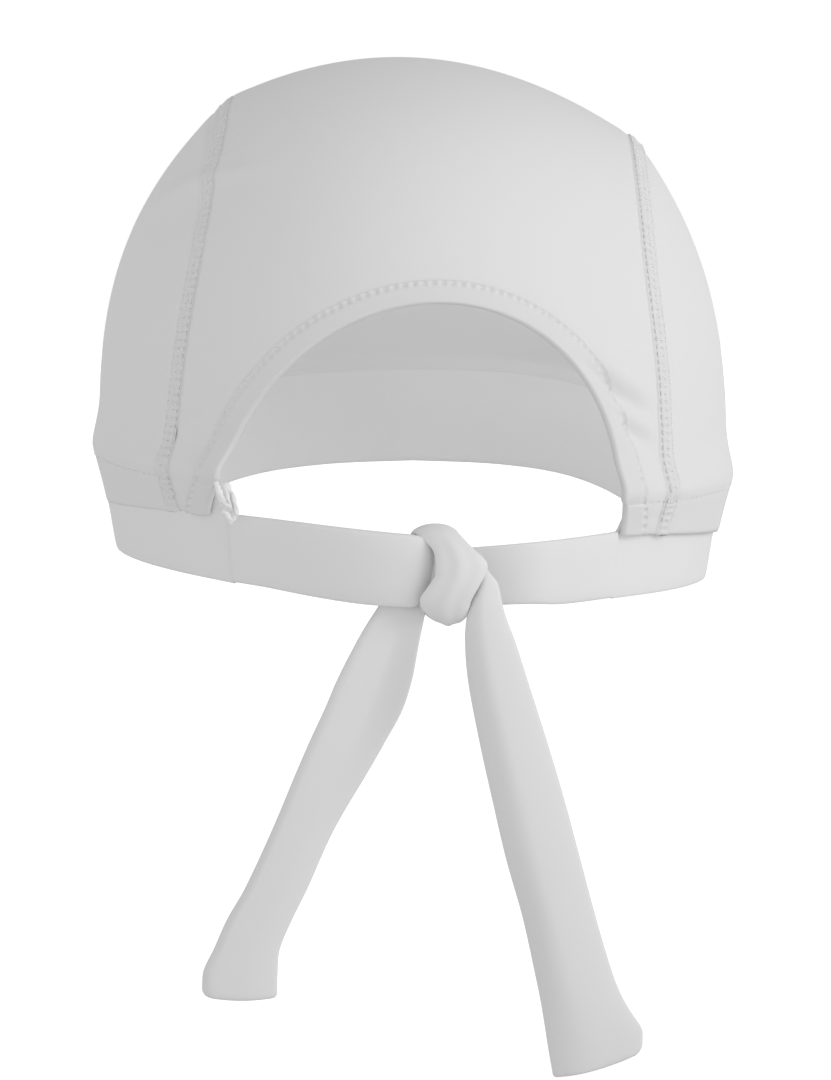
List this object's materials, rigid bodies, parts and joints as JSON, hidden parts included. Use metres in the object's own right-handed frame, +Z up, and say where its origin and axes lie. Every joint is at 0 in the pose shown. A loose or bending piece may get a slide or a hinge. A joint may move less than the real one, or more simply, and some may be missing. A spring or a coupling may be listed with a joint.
{
  "type": "bandana swim cap",
  "caption": "White stretch swim cap of a crown panel and side panels, with an arched ponytail opening low at the back and a headband whose straps are tied in a knot below it.",
  "frame": {"origin": "highest point inside the crown, where the top of the wearer's head touches the cloth", "axes": "+Z up along the wearer's head, +Y to the wearer's front, +X to the wearer's right, so the knot and its ties face -Y"},
  "size_m": [0.1592, 0.201, 0.2428],
  "materials": {
    "crown_knit": "smooth matt stretch knit with fine lengthwise lines",
    "seam_knit": "doubled knit held by rows of white stitches",
    "tie_knit": "soft matt stretch knit, folded double"
  },
  "bodies": {
    "root": {"crown_centre_panel": "crown_knit", "side_panel_left": "crown_knit", "side_panel_right": "crown_knit", "side_seam_left": "seam_knit", "side_seam_right": "seam_knit", "arch_hem": "seam_knit", "headband": "tie_knit", "knot_wrap": "tie_knit", "knot_core": "tie_knit", "tie_tail_left": "tie_knit", "tie_tail_right": "tie_knit"}
  },
  "joints": []
}
